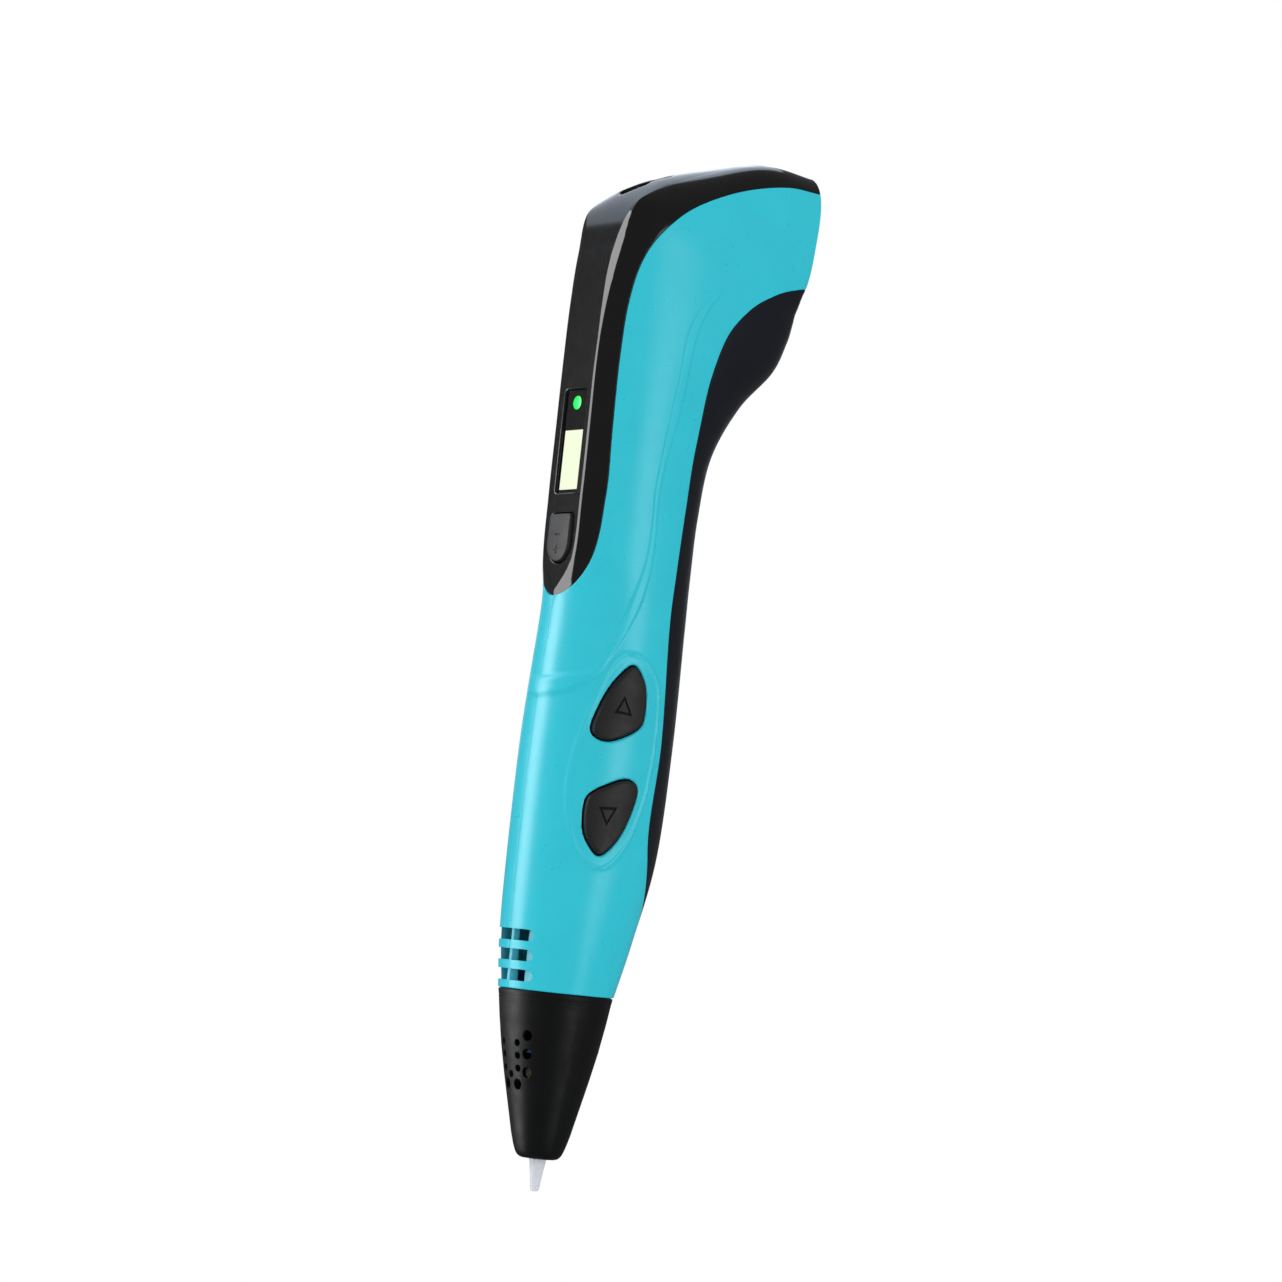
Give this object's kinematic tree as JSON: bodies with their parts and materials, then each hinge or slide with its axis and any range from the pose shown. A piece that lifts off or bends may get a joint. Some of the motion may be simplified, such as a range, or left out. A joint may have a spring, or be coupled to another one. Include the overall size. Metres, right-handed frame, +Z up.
{
  "type": "3d printing pen",
  "caption": "Electric 3D printing pen with a turquoise grip, black display panel, drive buttons and a vented cone over a ceramic nozzle.",
  "frame": {"origin": "lowest point of the nozzle, on the axis of the cone", "axes": "+Z up the pen from the nozzle to the head, -Y is the side with the display, +X is the side with the two drive buttons"},
  "size_m": [0.0254, 0.0456, 0.1876],
  "materials": {
    "turquoise_shell": "satin gloss",
    "black_panel": "high gloss",
    "navy_cover": "satin",
    "cone_black": "fine matte",
    "soft_button": "soft touch",
    "inner_plastic": "matte",
    "ceramic": "satin",
    "heater_ceramic": "matte",
    "insulation_wrap": "woven",
    "brass_parts": "turned",
    "steel_parts": "turned",
    "dark_steel": "zinc plated",
    "aluminium_collar": "turned",
    "guide_plastic": "translucent",
    "white_plastic": "moulded",
    "circuit_board": "solder mask",
    "chips": "moulded",
    "lead_insulation": "satin",
    "lit_screen": "backlit",
    "window": "polished",
    "status_lens": "lit"
  },
  "bodies": {
    "pen": {"right_shell": "turquoise_shell", "left_shell": "turquoise_shell", "face_panel": "black_panel", "back_cover": "navy_cover", "nozzle_cone": "cone_black", "joining_ring": "inner_plastic", "nozzle_tip": "ceramic", "heater_barrel": "brass_parts", "heater_sleeve": "heater_ceramic", "thermistor": "dark_steel", "insulation": "insulation_wrap", "barrel_carrier": "inner_plastic", "heat_break": "steel_parts", "cooling_collar": "aluminium_collar", "guide_tube": "guide_plastic", "feed_guide": "inner_plastic", "inlet_bush": "inner_plastic", "power_jack": "inner_plastic", "jack_pin": "brass_parts", "motor_bracket": "inner_plastic", "gearbox": "steel_parts", "motor_can": "dark_steel", "motor_cap": "white_plastic", "lever_pin": "steel_parts", "bracket_screws": "dark_steel", "main_board": "circuit_board", "main_chips": "chips", "heater_plug": "white_plastic", "heater_leads": "lead_insulation", "board_link": "chips", "display_board": "circuit_board", "display_chips": "chips", "screen_module": "black_panel", "screen": "lit_screen", "display_window": "window", "status_light": "status_lens", "side_switches": "chips", "rocker_pin": "steel_parts", "front_switches": "chips", "housing_screws": "dark_steel"},
    "forward_key": {"forward_button": "soft_button", "forward_plunger": "white_plastic"},
    "reverse_key": {"reverse_button": "soft_button", "reverse_plunger": "white_plastic"},
    "rocker": {"rocker_button": "soft_button"},
    "drive": {"drive_gear": "brass_parts", "output_shaft": "steel_parts"},
    "rotor": {"rotor_shaft": "steel_parts"},
    "lever": {"idler_lever": "inner_plastic", "idler_axle": "steel_parts", "lever_spring": "steel_parts"},
    "idler": {"idler_bearing": "steel_parts"}
  },
  "joints": [
    {"name": "forward_press", "type": "slide", "parent": "pen", "child": "forward_key", "axis": [-1, 0, 0], "range_m": [0, 0.0005], "stiffness_N_per_m": 600, "springref_m": -0.0005},
    {"name": "reverse_press", "type": "slide", "parent": "pen", "child": "reverse_key", "axis": [-1, 0, 0], "range_m": [0, 0.0005], "stiffness_N_per_m": 600, "springref_m": -0.0005},
    {"name": "rocker_tilt", "type": "hinge", "parent": "pen", "child": "rocker", "pos_m": [0, -0.0068, 0.1141], "axis": [1, 0, 0], "range_deg": [-3, 3], "stiffness_Nm_per_rad": 0.01},
    {"name": "drive_spin", "type": "hinge", "parent": "pen", "child": "drive", "pos_m": [0.0033, 0, 0.158], "axis": [0, 1, 0], "continuous": true},
    {"name": "rotor_spin", "type": "hinge", "parent": "pen", "child": "rotor", "pos_m": [0.0033, 0, 0.158], "axis": [0, 1, 0], "continuous": true},
    {"name": "lever_swing", "type": "hinge", "parent": "pen", "child": "lever", "pos_m": [-0.0076, 0, 0.15], "axis": [0, 1, 0], "range_deg": [-2, 0], "stiffness_Nm_per_rad": 0.05, "springref_deg": 5.73},
    {"name": "idler_spin", "type": "hinge", "parent": "lever", "child": "idler", "pos_m": [-0.00385, 0, 0.158], "axis": [0, 1, 0], "continuous": true}
  ],
  "couplings": [
    {"joint": "rotor_spin", "follows": "drive_spin", "ratio": 20},
    {"joint": "idler_spin", "follows": "drive_spin", "ratio": -0.83333}
  ]
}
